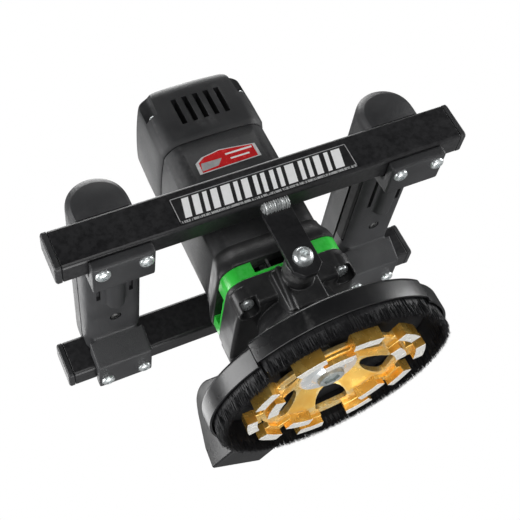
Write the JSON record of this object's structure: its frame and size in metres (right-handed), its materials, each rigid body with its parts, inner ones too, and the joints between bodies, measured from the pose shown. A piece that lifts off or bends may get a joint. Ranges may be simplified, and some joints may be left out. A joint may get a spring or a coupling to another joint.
{
  "type": "hand-held surface grinder",
  "caption": "Two-handed surface grinder for walls and ceilings: cup wheel in a brush-ring dust hood, upright motor, and an H-frame of square tubes with two grips.",
  "frame": {"origin": "on the surface that the brush ring stands on, under the middle of the bounding box", "axes": "+Z along the spindle axis from the wheel up to the motor, +X along the two tubes, -Y the side with the movable front segment of the hood"},
  "size_m": [0.4026, 0.2996, 0.3515],
  "materials": {
    "rail_paint": "satin black powder coat",
    "plug_plastic": "satin",
    "grip_plastic": "fine moulded texture",
    "zinc_plate": "bright zinc plate",
    "switch_rubber": "matt",
    "motor_plastic": "fine moulded texture",
    "cast_black": "satin black coated casting",
    "green_plastic": "semi-gloss",
    "steel": "machined",
    "copper": "machined",
    "carbon": "matt",
    "wheel_gold": "gloss gold lacquer",
    "bristle": "dense nylon bristle"
  },
  "bodies": {
    "machine": {"front_rail": "rail_paint", "rear_rail": "rail_paint", "front_bracket": "rail_paint", "rear_bracket": "rail_paint", "front_rail_plug_left": "plug_plastic", "front_rail_plug_right": "plug_plastic", "rear_rail_plug_left": "plug_plastic", "rear_rail_plug_right": "plug_plastic", "left_grip_upper": "grip_plastic", "left_grip_lower": "grip_plastic", "right_grip_upper": "grip_plastic", "right_grip_lower": "grip_plastic", "front_bracket_bolt": "zinc_plate", "rear_bracket_bolt": "zinc_plate", "left_grip_screw": "zinc_plate", "right_grip_screw": "zinc_plate", "left_front_foot_screw_outer": "zinc_plate", "left_front_foot_screw_inner": "zinc_plate", "left_rear_foot_screw_outer": "zinc_plate", "left_rear_foot_screw_inner": "zinc_plate", "right_front_foot_screw_outer": "zinc_plate", "right_front_foot_screw_inner": "zinc_plate", "right_rear_foot_screw_outer": "zinc_plate", "right_rear_foot_screw_inner": "zinc_plate", "case_screw_front_left": "zinc_plate", "case_screw_front_right": "zinc_plate", "case_screw_rear_left": "zinc_plate", "case_screw_rear_right": "zinc_plate", "switch_block": "motor_plastic", "motor_housing": "motor_plastic", "rear_cap": "motor_plastic", "bearing_bell": "cast_black", "gear_housing": "cast_black", "dust_hood": "cast_black", "vent_ring": "green_plastic", "stator_core": "steel", "upper_motor_bearing": "steel", "lower_motor_bearing": "steel", "spindle_top_bearing": "steel", "spindle_main_bearing": "steel", "bearing_plate": "steel", "carbon_brush_left": "carbon", "carbon_brush_right": "carbon", "brush_ring": "bristle"},
    "spindle_group": {"spindle": "steel", "output_gear": "steel", "cup_wheel": "wheel_gold", "clamp_flange": "zinc_plate", "clamp_screw": "zinc_plate"},
    "armature": {"armature_shaft": "steel", "armature_core": "steel", "commutator": "copper", "cooling_fan": "motor_plastic", "pinion": "steel"},
    "edge_flap": {"edge_segment": "cast_black", "edge_brush": "bristle"},
    "switch_lever": {"switch_paddle": "switch_rubber"}
  },
  "joints": [
    {"name": "spindle_spin", "type": "hinge", "parent": "machine", "child": "spindle_group", "pos_m": [0, -0.0326, 0.06], "axis": [0, 0, 1], "continuous": true},
    {"name": "armature_spin", "type": "hinge", "parent": "machine", "child": "armature", "pos_m": [0, -0.0106, 0.2], "axis": [0, 0, 1], "continuous": true},
    {"name": "edge_flap_slide", "type": "slide", "parent": "machine", "child": "edge_flap", "axis": [0, 0, 1], "range_m": [-0.004, 0.01]},
    {"name": "switch_press", "type": "hinge", "parent": "machine", "child": "switch_lever", "pos_m": [0.1204, -0.0786, 0.186], "axis": [0, 0, -1], "range_deg": [0, 1.5], "stiffness_Nm_per_rad": 4, "springref_deg": -1.15}
  ],
  "couplings": [
    {"joint": "armature_spin", "follows": "spindle_spin", "ratio": -4}
  ]
}
